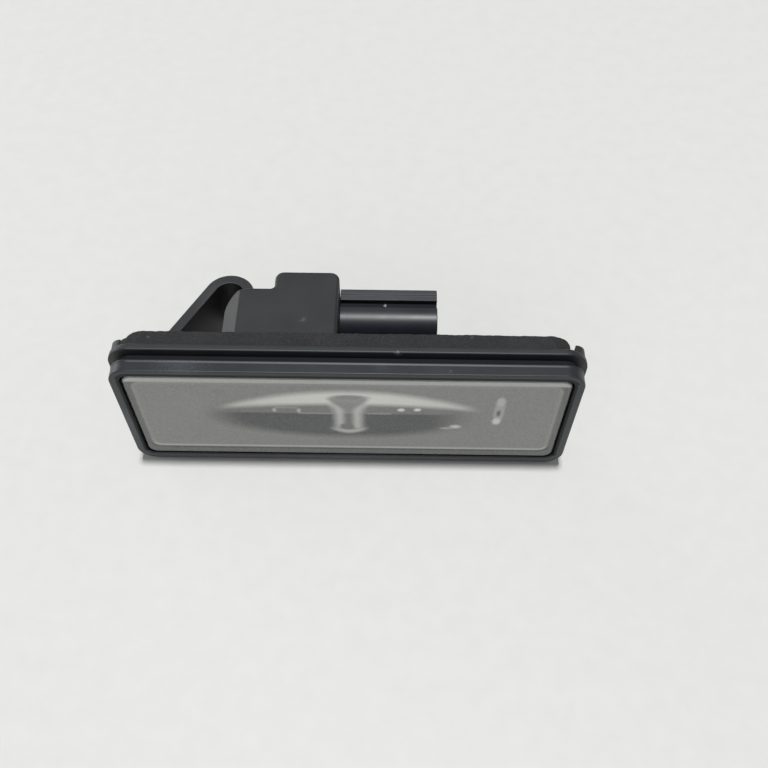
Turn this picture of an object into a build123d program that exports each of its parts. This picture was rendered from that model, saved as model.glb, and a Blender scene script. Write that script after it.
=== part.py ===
from build123d import *
import os
from math import asin, atan2, cos, hypot, sin

# Number plate lamp that snaps into a slot in a body panel.
# A clear lens with a two-lobed optic sits in a black front frame. Behind the frame is a one-piece housing:
# a flange, a tray for the circuit board, a terminal box with a plug socket, a spring clip and a fixed lug.
# A foam gasket lies on the back of the flange and seals against the panel.
# X runs along the lamp, Y points back into the panel and Z points up.
# The origin is the centre of the panel seat, which is the back face of the gasket.
# Lengths are in millimetres.

# Front frame
frame_width = 83.8
frame_height = 30.2
frame_corner = 3.6
frame_wall = 1.8
frame_side_depth = 2.6
frame_edge_round = 0.6
opening_bevel = 0.2
edge_break = 0.35

# Groove between the frame and the flange
groove_width = 1.5
groove_depth = 1.0

# Flange, foam gasket and the panel that the lamp is pushed into
flange_overhang = 0.8
flange_thickness = 1.5
gasket_thickness = 3.2
gasket_end_inset = 2.45
gasket_side_inset = 0.8
gasket_corner = 4.2
gasket_clearance = 0.25
panel_thickness = 2.5
slot_clearance = 0.5

# Gasket stop ribs on the back of the flange's two ends
stop_rib_height = 2.2
stop_rib_inset = 0.2
stop_rib_width = 1.9
stop_rib_length = 27.6

# Lens
lens_gap = 0.3
lens_corner = 1.9
lens_recess = 0.2
lens_plate = 1.2
lens_field_end_border = 1.3
lens_field_side_border = 2.1
lens_field_step = 0.35
lens_edge_bevel = 0.3
lens_skirt_wall = 1.2
least_corner = 0.3

# Optic on the back of the lens
optic_half_length = 27.0
optic_half_height = 8.8
optic_rise = 3.2
optic_valley_half_width = 0.6
optic_toe = 0.25

# Channel in the flange for the lens skirt and its bonding bead
channel_clearance = 0.2
channel_depth = 0.8
channel_lip = 0.5
bead_thickness = 0.4

# Housing tray and terminal box
wall = 1.6
tray_width = 68.0
tray_corner = 3.0
tray_depth = 5.1
box_left = -23.6
box_right = -2.2
box_depth = 10.55
box_corner = 4.6
box_facet_width = 2.9
box_facet_height = 2.4
tab_left = -14.4
tab_depth = 4.1
tab_corner = 1.7
tab_foot_round = 0.85
tab_edge_round = 0.7

# Plug socket
socket_length = 18.8
socket_width = 9.6
socket_height = 14.5
socket_front_round = 4.0
socket_rear_round = 0.6
socket_overhang = 0.5
socket_wall = 1.4
socket_floor = 1.6
key_groove_width = 1.8
key_groove_depth = 1.3
key_step_width = 1.3
key_step_depth = 0.2
key_rib_width = 1.5
latch_ramp_length = 4.0
latch_ramp_width = 4.6
latch_ramp_height = 1.1
latch_ramp_setback = 5.0

# Spring clip
clip_top = 6.7
clip_height = 14.5
clip_thickness = 2.0
clip_loop_radius = 4.9
clip_loop_overhang = 0.4
clip_loop_setback = 3.1
clip_root = 2.3
clip_catch = 1.25
clip_nose = 1.6

# Fixed lug at the other end
lug_height = 10.0
lug_stem = 2.0
lug_thickness = 2.3
lug_catch = 1.6
lug_chamfer = 1.2

# Circuit board, with the moulded stakes and the lens pins that set it
board_end_clearance = 0.7
board_side_clearance = 1.1
board_corner = 1.5
board_thickness = 1.2
board_stand_off = 0.8
board_hole_clearance = 0.25
boss_radius = 2.2
stake_radius = 1.0
stake_head_radius = 1.7
stake_head_height = 0.7
stake_end_inset = 2.7
stake_side_inset = 3.6
lens_pin_radius = 0.8
lens_pin_reach = 0.9
right_pin_end_inset = 3.1
right_pin_side_inset = 8.0
left_pin_end_inset = 5.7
left_pin_side_inset = 3.2

# Terminals
terminal_inset = 5.9
terminal_pitch = 5.0
terminal_thickness = 0.8
terminal_width = 1.5
terminal_reach = 8.0
terminal_stick_out = 0.9
terminal_bend = 1.4
terminal_point = 0.25
terminal_clearance = 0.04
solder_radius = 1.5
solder_top_radius = 0.75
solder_height = 0.7

# Board components: length along X, height along Z and thickness
led_size = (3.5, 2.8, 0.9)
led_window_radius = 1.1
led_window_depth = 0.4
diode_size = (4.4, 2.6, 1.1)
diode_bevel = 0.28
diode_lead = (0.7, 1.5, 0.5)
diode_spacing = 6.0
resistor_size = (3.2, 1.6, 0.6)
resistor_cap = 0.5
resistor_places = {
    "resistor_right": (11.2, -0.6),
    "resistor_far_right": (17.6, 2.2),
    "resistor_left": (-6.2, 3.8),
}
capacitor_size = (2.0, 1.25, 1.0)
capacitor_cap = 0.4
chip_cap_step = 0.08
capacitor_right_inset = (9.3, 4.8)
capacitor_left_inset = (10.3, 2.2)

# Places along Y, from the panel seat
flange_rear = -gasket_thickness
flange_front = flange_rear - flange_thickness
groove_front = flange_front - groove_width
frame_front = groove_front - frame_side_depth
lens_front = frame_front + lens_recess
lens_back = lens_front + lens_plate
field_back = lens_back + lens_field_step
channel_floor = flange_front + channel_depth
skirt_end = channel_floor - bead_thickness
tray_rear = flange_rear + tray_depth
tray_floor = tray_rear - wall
board_rear = tray_floor - board_stand_off
board_front = board_rear - board_thickness
led_front = board_front - led_size[2]
box_rear = tray_rear + box_depth
tab_rear = box_rear + tab_depth
socket_rear = tab_rear + socket_overhang
socket_front = socket_rear - socket_width
socket_axis = (socket_front + socket_rear) / 2
terminal_run = box_rear - wall / 2

# Outlines across X and Z: width, height and corner
frame_outline = (frame_width, frame_height, frame_corner)
opening_width = frame_width - 2 * frame_wall
opening_height = frame_height - 2 * frame_wall
lens_width = opening_width - 2 * lens_gap
lens_height = opening_height - 2 * lens_gap
lens_outline = (lens_width, lens_height, lens_corner)
flange_width = frame_width + 2 * flange_overhang
flange_height = frame_height + 2 * flange_overhang
flange_corner = frame_corner + flange_overhang
flange_outline = (flange_width, flange_height, flange_corner)
inside_width = tray_width - 2 * wall
inside_height = lens_height - 2 * (lens_skirt_wall + channel_clearance + channel_lip)
tray_height = inside_height + 2 * wall
tray_outline = (tray_width, tray_height, tray_corner)
box_half_height = tray_height / 2
slot_half_width = tray_width / 2 + slot_clearance
board_half_width = inside_width / 2 - board_end_clearance
board_half_height = inside_height / 2 - board_side_clearance

# Places across X and Z
stake_x = board_half_width - stake_end_inset
stake_z = board_half_height - stake_side_inset
stake_places = [(stake_x, stake_z), (-stake_x, -stake_z)]
lens_pin_places = [
    (board_half_width - right_pin_end_inset, right_pin_side_inset - board_half_height),
    (left_pin_end_inset - board_half_width, board_half_height - left_pin_side_inset),
]
terminal_x = box_left + terminal_inset
socket_middle = -key_groove_depth / 2
terminal_levels = (socket_middle + terminal_pitch / 2, socket_middle - terminal_pitch / 2)
led_place = (0.0, 0.0)
diode_place = (terminal_x + diode_spacing, socket_middle)
capacitor_places = {
    "capacitor_right": (
        board_half_width - capacitor_right_inset[0],
        capacitor_right_inset[1] - board_half_height,
    ),
    "capacitor_left": (
        capacitor_left_inset[0] - board_half_width,
        capacitor_left_inset[1] - board_half_height,
    ),
}

# Two places closer than this are the same
same_place = 0.001


def block(width, height, corner, y_from, y_to, x=0.0, z=0.0):
    """Prism with a rounded outline across X and Z, from one Y plane to another."""
    plane = Plane((x, y_from, z), x_dir=(1, 0, 0), z_dir=(0, 1, 0))
    outline = RectangleRounded(width, height, corner) if corner > 0 else Rectangle(width, height)
    return extrude(plane * outline, amount=y_to - y_from)


def ring(outer, inner, y_from, y_to):
    """Closed band between two rounded outlines, each given as width, height and corner."""
    return block(*outer, y_from, y_to) - block(*inner, y_from, y_to)


def round_post(radius, place, y_from, y_to):
    """Round post along Y at a place across X and Z."""
    x, z = place
    return Pos(x, (y_from + y_to) / 2, z) * Rot(90, 0, 0) * Cylinder(radius, abs(y_to - y_from))


def edges_at(solid, y):
    """Edges of a solid that lie wholly in one Y plane."""
    return solid.edges().filter_by_position(Axis.Y, y - same_place, y + same_place)


def grown(outline, amount):
    """An outline given as width, height and corner, grown by an amount on every side."""
    width, height, corner = outline
    return width + 2 * amount, height + 2 * amount, max(corner + amount, least_corner)


def make_frame():
    """Front frame: a rim that stands proud of the lens, and a neck that seats on the flange."""
    rim = block(*frame_outline, frame_front, groove_front)
    rim = fillet(edges_at(rim, frame_front), frame_edge_round)
    rim = chamfer(edges_at(rim, groove_front), edge_break)
    neck = block(*grown(frame_outline, -groove_depth), groove_front, flange_front)
    opening = block(*grown(lens_outline, lens_gap), frame_front, flange_front)
    body = rim + neck - opening
    front_face = body.faces().sort_by(Axis.Y)[0]
    return chamfer(front_face.inner_wires()[0].edges(), opening_bevel)


def make_optic():
    """Two lobes of one barrel-shaped dome, each swept down to a valley over the light source."""
    cross_radius = (optic_half_height**2 + optic_rise**2) / (2 * optic_rise)
    axis_y = field_back + optic_rise - cross_radius
    tip = cross_radius - optic_rise
    profile = make_face(
        [
            ThreePointArc((-optic_half_length, tip), (0, cross_radius), (optic_half_length, tip)),
            *Polyline((optic_half_length, tip), (optic_half_length, 0), (-optic_half_length, 0),
                      (-optic_half_length, tip)).edges(),
        ]
    )
    barrel = revolve(Pos(0, axis_y, 0) * profile, axis=Axis((0, axis_y, 0), (1, 0, 0)))
    crest = field_back + optic_rise
    shoulder = JernArc((optic_valley_half_width, field_back + optic_toe), (1, 0), optic_rise - optic_toe, 90)
    lobe = make_face(
        [
            shoulder,
            *Polyline(shoulder @ 1, (optic_half_length, crest), (optic_half_length, lens_back),
                      (optic_valley_half_width, lens_back), shoulder @ 0).edges(),
        ]
    )
    lobe = barrel & extrude(lobe, amount=optic_half_height, both=True)
    return lobe + mirror(lobe, Plane.YZ)


def make_lens():
    """Clear cover: bevelled plate, thicker field inside its border, skirt, optic and two setting pins."""
    plate = block(*lens_outline, lens_front, lens_back)
    plate = chamfer(edges_at(plate, lens_front), lens_edge_bevel)
    field_width = lens_width - 2 * lens_field_end_border
    field_height = lens_height - 2 * lens_field_side_border
    field = block(field_width, field_height, lens_corner, lens_back, field_back)
    skirt = ring(lens_outline, grown(lens_outline, -lens_skirt_wall), lens_back, skirt_end)
    lens = plate + field + skirt + make_optic()
    for place in lens_pin_places:
        lens += round_post(lens_pin_radius, place, lens_back, board_front + lens_pin_reach)
    return lens


def skirt_channel(y_from, y_to):
    """Band that leaves a clearance on both sides of the lens skirt."""
    inner = grown(lens_outline, -lens_skirt_wall - channel_clearance)
    return ring(grown(lens_outline, channel_clearance), inner, y_from, y_to)


def box_shape(inset):
    """Terminal box drawn in by an inset: a wide part with a facet along its left edges, and a deeper tab."""
    left, right = box_left + inset, box_right - inset
    rear, tab_back, step = box_rear - inset, tab_rear - inset, tab_left + inset
    half_height = box_half_height - inset
    outline = make_face(
        Polyline((left, tray_floor), (left, rear), (step, rear), (step, tab_back), (right, tab_back),
                 (right, tray_floor), close=True).edges()
    )
    for x, y, radius in (
        (left, rear, box_corner - inset),
        (step, rear, tab_foot_round),
        (step, tab_back, tab_corner),
        (right, tab_back, tab_corner),
    ):
        outline = fillet(outline.vertices().sort_by_distance((x, y))[0], radius)
    shape = extrude(outline, amount=half_height, both=True)
    plane = Plane((0, tray_floor, 0), x_dir=(1, 0, 0), z_dir=(0, -1, 0))
    for side in (-1, 1):
        facet = make_face(
            Polyline((left, side * half_height), (left + box_facet_width, side * half_height),
                     (left, side * (half_height - box_facet_height)), close=True).edges()
        )
        shape -= extrude(plane * facet, amount=tray_floor - rear)
    return shape


def make_terminal_box():
    """Terminal box with its upper and lower rims rounded, from the facet round to the plug socket."""
    box = box_shape(0)
    rims = box.edges().filter_by(lambda edge: abs(abs(edge.center().Z) - box_half_height) < same_place)
    rims = rims.filter_by(lambda edge: edge.center().Y > tray_floor + same_place)
    rims = rims.filter_by(lambda edge: edge.center().X > box_left + box_facet_width + same_place)
    return fillet(rims, tab_edge_round)


def make_socket():
    """Plug socket: a shroud along X with a key groove, a stepped key rib and a latch ramp underneath."""
    half = socket_height / 2
    section = make_face(
        Polyline((socket_front, -half), (socket_rear, -half), (socket_rear, half), (socket_front, half),
                 close=True).edges()
    )
    for y, z, radius in (
        (socket_front, -half, socket_front_round),
        (socket_front, half, socket_front_round),
        (socket_rear, -half, socket_rear_round),
        (socket_rear, half, socket_rear_round),
    ):
        section = fillet(section.vertices().sort_by_distance((y, z))[0], radius)
    step_end = socket_rear - key_rib_width
    groove_end = step_end - key_step_width
    groove_place = Pos(groove_end - key_groove_width / 2, half - key_groove_depth / 2)
    step_place = Pos(step_end - key_step_width / 2, half - key_step_depth / 2)
    section -= groove_place * Rectangle(key_groove_width, key_groove_depth)
    section -= step_place * Rectangle(key_step_width, key_step_depth)
    back_plane = Plane((box_right, 0, 0), x_dir=(0, 1, 0), z_dir=(1, 0, 0))
    shroud = extrude(back_plane * section, amount=socket_length)

    ramp_end = box_right + socket_length - latch_ramp_setback
    ramp_start = ramp_end - latch_ramp_length
    ramp = make_face(
        Polyline((ramp_start, -half), (ramp_start, -half - latch_ramp_height), (ramp_end, -half),
                 close=True).edges()
    )
    ramp = extrude(Plane((0, socket_axis, 0), x_dir=(1, 0, 0), z_dir=(0, -1, 0)) * ramp,
                   amount=latch_ramp_width / 2, both=True)
    return shroud + ramp


def make_socket_cavity():
    """Room for the plug inside the shroud, open at its mouth."""
    inner_height = socket_height - 2 * socket_wall - key_groove_depth
    inner_width = socket_width - 2 * socket_wall
    plane = Plane((box_right + socket_floor, socket_axis, socket_middle), x_dir=(0, 1, 0), z_dir=(1, 0, 0))
    return extrude(plane * RectangleRounded(inner_width, inner_height, socket_wall),
                   amount=socket_length - socket_floor)


def make_clip():
    """Spring clip: rooted on the back of the box, looped once, with a leg that slants out to its catch."""
    loop_x = box_left - clip_loop_overhang
    loop_y = box_rear + clip_loop_setback
    inner_radius = clip_loop_radius - clip_thickness
    foot = (-slot_half_width - clip_catch, panel_thickness + clip_nose)
    run_x, run_y = loop_x - foot[0], loop_y - foot[1]
    lean = atan2(run_x, run_y) - asin(clip_loop_radius / hypot(run_x, run_y))
    outer_top = (loop_x - clip_loop_radius * cos(lean), loop_y + clip_loop_radius * sin(lean))
    inner_top = (loop_x - inner_radius * cos(lean), loop_y + inner_radius * sin(lean))
    inner_drop = inner_top[1] - panel_thickness
    inner_foot = (inner_top[0] - inner_drop * sin(lean) / cos(lean), panel_thickness)
    root_y = box_rear - clip_root
    outer_x, inner_x = loop_x + clip_loop_radius, loop_x + inner_radius
    profile = make_face(
        [
            ThreePointArc(outer_top, (loop_x, loop_y + clip_loop_radius), (outer_x, loop_y)),
            *Polyline((outer_x, loop_y), (outer_x, root_y), (inner_x, root_y), (inner_x, loop_y)).edges(),
            ThreePointArc((inner_x, loop_y), (loop_x, loop_y + inner_radius), inner_top),
            *Polyline(inner_top, inner_foot, (foot[0], panel_thickness), foot, outer_top).edges(),
        ]
    )
    return Pos(0, 0, clip_top - clip_height) * extrude(profile, amount=clip_height)


def make_lug():
    """Fixed lug: a hooked lip that goes under the far edge of the panel slot first."""
    outer_x = tray_width / 2
    inner_x = outer_x - lug_stem
    reach_x = slot_half_width + lug_catch
    rear = panel_thickness + lug_thickness
    profile = make_face(
        Polyline((inner_x, tray_floor), (outer_x, tray_floor), (outer_x, panel_thickness),
                 (reach_x, panel_thickness), (reach_x, rear - lug_chamfer), (reach_x - lug_chamfer, rear),
                 (inner_x, rear), close=True).edges()
    )
    return extrude(profile, amount=lug_height / 2, both=True)


def make_stop_ribs():
    """Ribs across the back of the flange's ends, which keep the gasket from sliding or being crushed."""
    outer_width = flange_width - 2 * stop_rib_inset
    inner_width = outer_width - 2 * stop_rib_width
    foot = (flange_front + flange_rear) / 2
    top = flange_rear + stop_rib_height
    ribs = block(outer_width, stop_rib_length, stop_rib_width, foot, top)
    return ribs - block(inner_width, stop_rib_length, 0, foot, top)


def make_terminal(z, clearance=0.0):
    """A bent terminal: up through the board, then out into the socket. A clearance gives the slot it fits."""
    half = terminal_thickness / 2 + clearance
    start_y = board_front - terminal_stick_out
    end_x = box_right + socket_floor + terminal_reach
    strip = make_face(
        Polyline((terminal_x - half, start_y), (terminal_x - half, terminal_run + half),
                 (end_x, terminal_run + half), (end_x, terminal_run - half),
                 (terminal_x + half, terminal_run - half), (terminal_x + half, start_y), close=True).edges()
    )
    outer_bend = strip.vertices().sort_by_distance((terminal_x - half, terminal_run + half))[0]
    strip = fillet(outer_bend, terminal_bend + terminal_thickness)
    inner_bend = strip.vertices().sort_by_distance((terminal_x + half, terminal_run - half))[0]
    strip = fillet(inner_bend, terminal_bend)
    strip = extrude(strip, amount=terminal_width / 2 + clearance, both=True)
    if clearance == 0:
        strip = chamfer(strip.faces().sort_by(Axis.X)[-1].edges(), terminal_point)
    return Pos(0, 0, z) * strip


def make_housing():
    """Flange, tray, terminal box, plug socket, spring clip, lug and board posts, moulded in one."""
    flange = block(*flange_outline, flange_front, flange_rear)
    flange = chamfer(edges_at(flange, flange_front) + edges_at(flange, flange_rear), edge_break)
    tray = block(*tray_outline, flange_front, tray_rear)
    tray = chamfer(edges_at(tray, tray_rear), edge_break)
    housing = flange + tray + make_terminal_box() + make_socket()
    housing += make_clip() + make_lug() + make_stop_ribs()

    housing -= skirt_channel(flange_front, channel_floor)
    housing -= block(inside_width, inside_height, tray_corner - wall, flange_front, tray_floor)
    housing -= box_shape(wall)
    housing -= make_socket_cavity()
    for z in terminal_levels:
        housing -= make_terminal(z, terminal_clearance)
    for place in stake_places:
        housing += round_post(boss_radius, place, board_rear, tray_floor)
        housing += round_post(stake_radius, place, board_front, tray_floor)
        housing += round_post(stake_head_radius, place, board_front - stake_head_height, board_front)
    return housing


def make_gasket():
    """Foam ring on the back of the flange, slipped over the tray."""
    outer = (flange_width - 2 * gasket_end_inset, flange_height - 2 * gasket_side_inset, gasket_corner)
    return ring(outer, grown(tray_outline, gasket_clearance), flange_rear, 0)


def make_board():
    """Circuit board with holes for the moulded stakes, the lens pins and the terminals."""
    board = block(2 * board_half_width, 2 * board_half_height, board_corner, board_front, board_rear)
    for place in stake_places:
        board -= round_post(stake_radius + board_hole_clearance, place, board_front, board_rear)
    for place in lens_pin_places:
        board -= round_post(lens_pin_radius + board_hole_clearance, place, board_front, board_rear)
    for z in terminal_levels:
        board -= make_terminal(z, terminal_clearance)
    return board


def on_board(size, place):
    """A small block standing on the front of the board."""
    length, height, thickness = size
    return block(length, height, 0, board_front - thickness, board_front, *place)


def make_phosphor():
    """Phosphor filling of the light source's window."""
    return round_post(led_window_radius, led_place, led_front, led_front + led_window_depth)


def make_diode():
    """Protection diode: a bevelled body with a flat lead at each end."""
    body = on_board(diode_size, diode_place)
    body = chamfer(edges_at(body, board_front - diode_size[2]), diode_bevel)
    reach = (diode_size[0] + diode_lead[0]) / 2
    for side in (-1, 1):
        body += on_board(diode_lead, (diode_place[0] + side * reach, diode_place[1]))
    return body


def make_chip(size, cap, place):
    """Chip component: a body with slightly thicker end caps."""
    length, height, thickness = size
    body = on_board((length - 2 * cap, height, thickness - chip_cap_step), place)
    for side in (-1, 1):
        body += on_board((cap, height, thickness), (place[0] + side * (length - cap) / 2, place[1]))
    return body


def make_solder():
    """Solder cones round the terminals on the front of the board."""
    cone = Rot(90, 0, 0) * Cone(solder_radius, solder_top_radius, solder_height)
    cones = []
    for z in terminal_levels:
        joint = Pos(terminal_x, board_front - solder_height / 2, z) * cone
        joint -= make_terminal(z, terminal_clearance)
        cones += joint.solids()
    return Compound(children=cones)


parts = {
    "front_frame": make_frame(),
    "lens": make_lens(),
    "lens_bead": skirt_channel(skirt_end, channel_floor),
    "housing": make_housing(),
    "gasket": make_gasket(),
    "circuit_board": make_board(),
    "led_package": on_board(led_size, led_place) - make_phosphor(),
    "led_phosphor": make_phosphor(),
    "diode": make_diode(),
    "terminal_upper": make_terminal(terminal_levels[0]),
    "terminal_lower": make_terminal(terminal_levels[1]),
    "terminal_solder": make_solder(),
}
for name, place in resistor_places.items():
    parts[name] = make_chip(resistor_size, resistor_cap, place)
for name, place in capacitor_places.items():
    parts[name] = make_chip(capacitor_size, capacitor_cap, place)

os.makedirs("parts", exist_ok=True)
for name, shape in parts.items():
    export_step(shape, f"parts/{name}.step")
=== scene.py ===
import bpy
import bmesh
import numpy as np
from math import cos, radians, sin
from mathutils import Matrix, Vector


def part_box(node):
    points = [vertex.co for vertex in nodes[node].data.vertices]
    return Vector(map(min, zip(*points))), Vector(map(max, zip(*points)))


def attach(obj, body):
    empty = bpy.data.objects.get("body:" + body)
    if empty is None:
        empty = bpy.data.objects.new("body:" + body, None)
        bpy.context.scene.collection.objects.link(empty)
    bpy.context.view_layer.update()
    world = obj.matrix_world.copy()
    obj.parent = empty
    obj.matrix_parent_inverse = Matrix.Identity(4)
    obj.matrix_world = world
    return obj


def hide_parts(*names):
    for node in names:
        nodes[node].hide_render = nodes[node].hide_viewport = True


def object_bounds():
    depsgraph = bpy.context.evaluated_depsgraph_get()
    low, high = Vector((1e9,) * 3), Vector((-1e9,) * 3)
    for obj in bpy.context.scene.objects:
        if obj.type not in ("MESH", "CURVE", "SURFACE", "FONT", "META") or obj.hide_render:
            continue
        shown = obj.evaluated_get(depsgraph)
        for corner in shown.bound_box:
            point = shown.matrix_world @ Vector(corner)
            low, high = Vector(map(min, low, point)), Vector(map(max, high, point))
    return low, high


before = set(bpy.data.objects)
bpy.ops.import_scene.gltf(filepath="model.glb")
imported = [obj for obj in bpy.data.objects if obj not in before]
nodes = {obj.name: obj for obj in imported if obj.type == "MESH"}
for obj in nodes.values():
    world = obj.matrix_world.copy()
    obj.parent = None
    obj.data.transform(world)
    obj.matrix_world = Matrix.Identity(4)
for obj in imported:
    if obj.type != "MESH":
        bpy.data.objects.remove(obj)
cadBox = [list(corner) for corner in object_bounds()]
mm = 0.001
print("number plate lamp: frame loaded with", len(nodes), "nodes")

# sockets of a Mix node by number, as several of them share a name: inputs, then outputs
mixFactor, firstValue, secondValue, firstColour, secondColour = 0, 2, 3, 6, 7
mixedValue, mixedColour = 0, 2


# sRGB hex text to linear RGBA, by the standard sRGB curve
def linear(text):
    srgb = np.array([int(text[i:i + 2], 16) for i in (1, 3, 5)]) / 255
    rgb = np.where(srgb <= 0.04045, srgb / 12.92, ((srgb + 0.055) / 1.055) ** 2.4)
    return (*rgb.tolist(), 1.0)


# adds one node, sets its options and input values, and links its inputs
def addNode(tree, kind, settings=None, links=None):
    node = tree.nodes.new(kind)
    for name, value in (settings or {}).items():
        if isinstance(name, int) or name in node.inputs:
            node.inputs[name].default_value = value
        else:
            setattr(node, name, value)
    for name, source in (links or {}).items():
        tree.links.new(source, node.inputs[name])
    return node


# empty material with its output and object coordinates, ready for a shader
def startMaterial(name):
    material = bpy.data.materials.new(name)
    material.use_nodes = True
    tree = material.node_tree
    tree.nodes.clear()
    output = addNode(tree, "ShaderNodeOutputMaterial")
    place = addNode(tree, "ShaderNodeTexCoord").outputs["Object"]
    return material, tree, output, place


# the two stops of a ramp node, each a position and a hex colour
def setStops(ramp, stops):
    for element, (position, colour) in zip(ramp.color_ramp.elements, stops):
        element.position = position
        element.color = linear(colour)


# mesh object at the origin from points and faces, riding on the one body
def makePiece(name, points, faces):
    mesh = bpy.data.meshes.new(name)
    mesh.from_pydata(points.tolist(), [], faces)
    mesh.validate()
    piece = bpy.data.objects.new(name, mesh)
    bpy.context.scene.collection.objects.link(piece)
    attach(piece, "root")
    return piece


# shades every face of a mesh smoothly
def smoothFaces(mesh):
    mesh.polygons.foreach_set("use_smooth", np.ones(len(mesh.polygons), bool))


# turns every face of a closed piece to the outside
def facesOutward(piece):
    work = bmesh.new()
    work.from_mesh(piece.data)
    bmesh.ops.recalc_face_normals(work, faces=work.faces)
    work.to_mesh(piece.data)
    work.free()


# lets the larger faces set the shading, so that flats look flat up to their rounds
def weightNormals(piece):
    weighted = piece.modifiers.new("normals", "WEIGHTED_NORMAL")
    weighted.keep_sharp = True


# quads between neighbouring points of a rows x columns grid, which may be closed both ways into a ring
def gridFaces(rows, columns, closed=False, start=0):
    r = np.arange(rows if closed else rows - 1)[:, None]
    c = np.arange(columns if closed else columns - 1)[None, :]
    r2, c2 = (r + 1) % rows, (c + 1) % columns
    quad = np.stack([r * columns + c, r * columns + c2, r2 * columns + c2, r2 * columns + c], axis=-1)
    return quad.reshape(-1, 4) + start


# smooth unevenness with a spread of about 1: a sum of sine waves with seeded directions, lengths and phases.
# The wave length is in the unit of the points.
def unevenness(points, waveLength, seed, waves=24, spread=(0.6, 1.7)):
    rng = np.random.default_rng(seed)
    direction = rng.normal(size=(waves, 3))
    direction /= np.linalg.norm(direction, axis=1, keepdims=True)
    pitch = 2 * np.pi / (waveLength * rng.uniform(*spread, waves))
    phase = rng.uniform(0, 2 * np.pi, waves)
    return np.sin(points @ (direction * pitch[:, None]).T + phase).sum(axis=-1) / np.sqrt(waves / 2)


# distance to a rounded rectangle's outline, negative inside it
def outlineDistance(x, z, halfWidth, halfHeight, corner):
    dx = np.abs(x) - (halfWidth - corner)
    dz = np.abs(z) - (halfHeight - corner)
    return np.hypot(np.clip(dx, 0, None), np.clip(dz, 0, None)) + np.minimum(np.maximum(dx, dz), 0) - corner


# points evenly along a rounded rectangle's outline and their outward directions: four straights, each with a
# quarter arc after it. The arc's centre moves along the straights and the direction turns along the arcs.
def outlinePath(halfWidth, halfHeight, corner, count):
    runX, runZ, arc = 2 * (halfWidth - corner), 2 * (halfHeight - corner), corner * np.pi / 2
    lengths = np.array([runZ, arc, runX, arc, runZ, arc, runX, arc])
    ends = np.cumsum(lengths)
    along = np.arange(count) / count * ends[-1]
    part = np.searchsorted(ends, along, side="right")
    t = (along - (ends - lengths)[part]) / lengths[part]
    signs = np.array([(1, 1), (-1, 1), (-1, -1), (1, -1)])
    quarter = part // 2
    isArc = part % 2 == 1
    angle = quarter * np.pi / 2 + np.where(isArc, t * np.pi / 2, 0)
    outX, outZ = np.cos(angle), np.sin(angle)
    turnTo = signs[quarter]
    turnFrom = signs[(quarter - 1) % 4]
    blend = np.where(isArc, 1, t)[:, None]
    centre = (turnFrom * (1 - blend) + turnTo * blend) * (halfWidth - corner, halfHeight - corner)
    return centre[:, 0] + corner * outX, centre[:, 1] + corner * outZ, outX, outZ


# A mark is a worn place, a speck or a painted highlight: its middle and radius in millimetres, and its
# strength.
# Mould grain is nearer 0.1 mm, and is drawn as coarse as it needs to show.
plasticFinish = {
    # front frame: ABS from a satin mould, a soft blue-black sheen with faint handling marks and painted
    # highlights
    "blackAbsSatin": {
        "colour": "#24272c", "pale": "#383b40", "roughness": 0.40, "specular": 0.5,
        "grainMm": 0.35, "grainDepthMm": 0.006, "scuffs": 0.5,
        # painted light among the marks: the second is a painted sheen on the top band's left, the fourth
        # painted light on the left end's front, the fifth a painted reflection of the floor along the bottom
        # front face
        "marks": [((17.9, -8.0, 15.1), 0.5, 2.4), ((-29.0, -7.4, 15.1), 8.0, 1.3),
                  ((6.0, -7.0, 15.1), 2.4, 0.7), ((-41.5, -8.8, -2.0), 9.0, 1.7),
                  ((0.0, -8.8, -15.0), 26.0, 1.2)],
    },
    # groove behind the frame's front: the same ABS, darker and with hardly any sheen, as painted shade in the
    # groove
    "blackAbsShadedGroove": {
        "colour": "#1f2024", "pale": "#2b2c30", "roughness": 0.75, "specular": 0.15,
        "grainMm": 0.35, "grainDepthMm": 0.010, "scuffs": 0.2, "marks": [],
    },
    # inner lip of the frame: the same ABS, darker and duller than the rest, as painted shade beside the lens
    "blackAbsShadedLip": {
        "colour": "#1a1c1f", "pale": "#292b2e", "roughness": 0.60, "specular": 0.27,
        "grainMm": 0.35, "grainDepthMm": 0.010, "scuffs": 0.3, "marks": [],
    },
    # housing: PBT from an eroded mould, a fine matt grain that greys where it was handled, with painted light
    # on the clip's top
    "blackPbtMatt": {
        "colour": "#28292b", "pale": "#38393b", "roughness": 0.46, "specular": 0.5,
        "grainMm": 0.28, "grainDepthMm": 0.014, "scuffs": 0.35,
        "marks": [((-8.4, 4.8, 12.7), 1.0, 3.4), ((8.9, -4.9, 15.6), 1.0, 10.0),
                  # painted light: a pale patch on the top of the clip's loop
                  ((-25.0, 14.0, 6.7), 7.0, 2.6)],
    },
    # plug shroud: the same PBT against polished steel, which draws the light into a long soft streak
    "blackPbtPolished": {
        "colour": "#20232a", "pale": "#2f333b", "roughness": 0.38, "specular": 0.5,
        "grainMm": 0.30, "grainDepthMm": 0.004, "scuffs": 0.4, "marks": [],
    },
    # key rib of the shroud: the same PBT rubbed grey by the plug, with scratches along it
    "blackPbtRubbed": {
        "colour": "#393b3f", "pale": "#4f5154", "roughness": 0.50, "specular": 0.5,
        "grainMm": 0.28, "grainDepthMm": 0.014, "scuffs": 0.7, "marks": [],
    },
    # key groove: the same PBT, darker and dull as painted shade in the slot, with one pale speck
    "blackPbtGrimy": {
        "colour": "#222327", "pale": "#2e2f33", "roughness": 0.80, "specular": 0.15,
        "grainMm": 0.28, "grainDepthMm": 0.014, "scuffs": 0.3, "marks": [((6.5, 13.85, 5.95), 0.45, 40.0)],
    },
}
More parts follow.
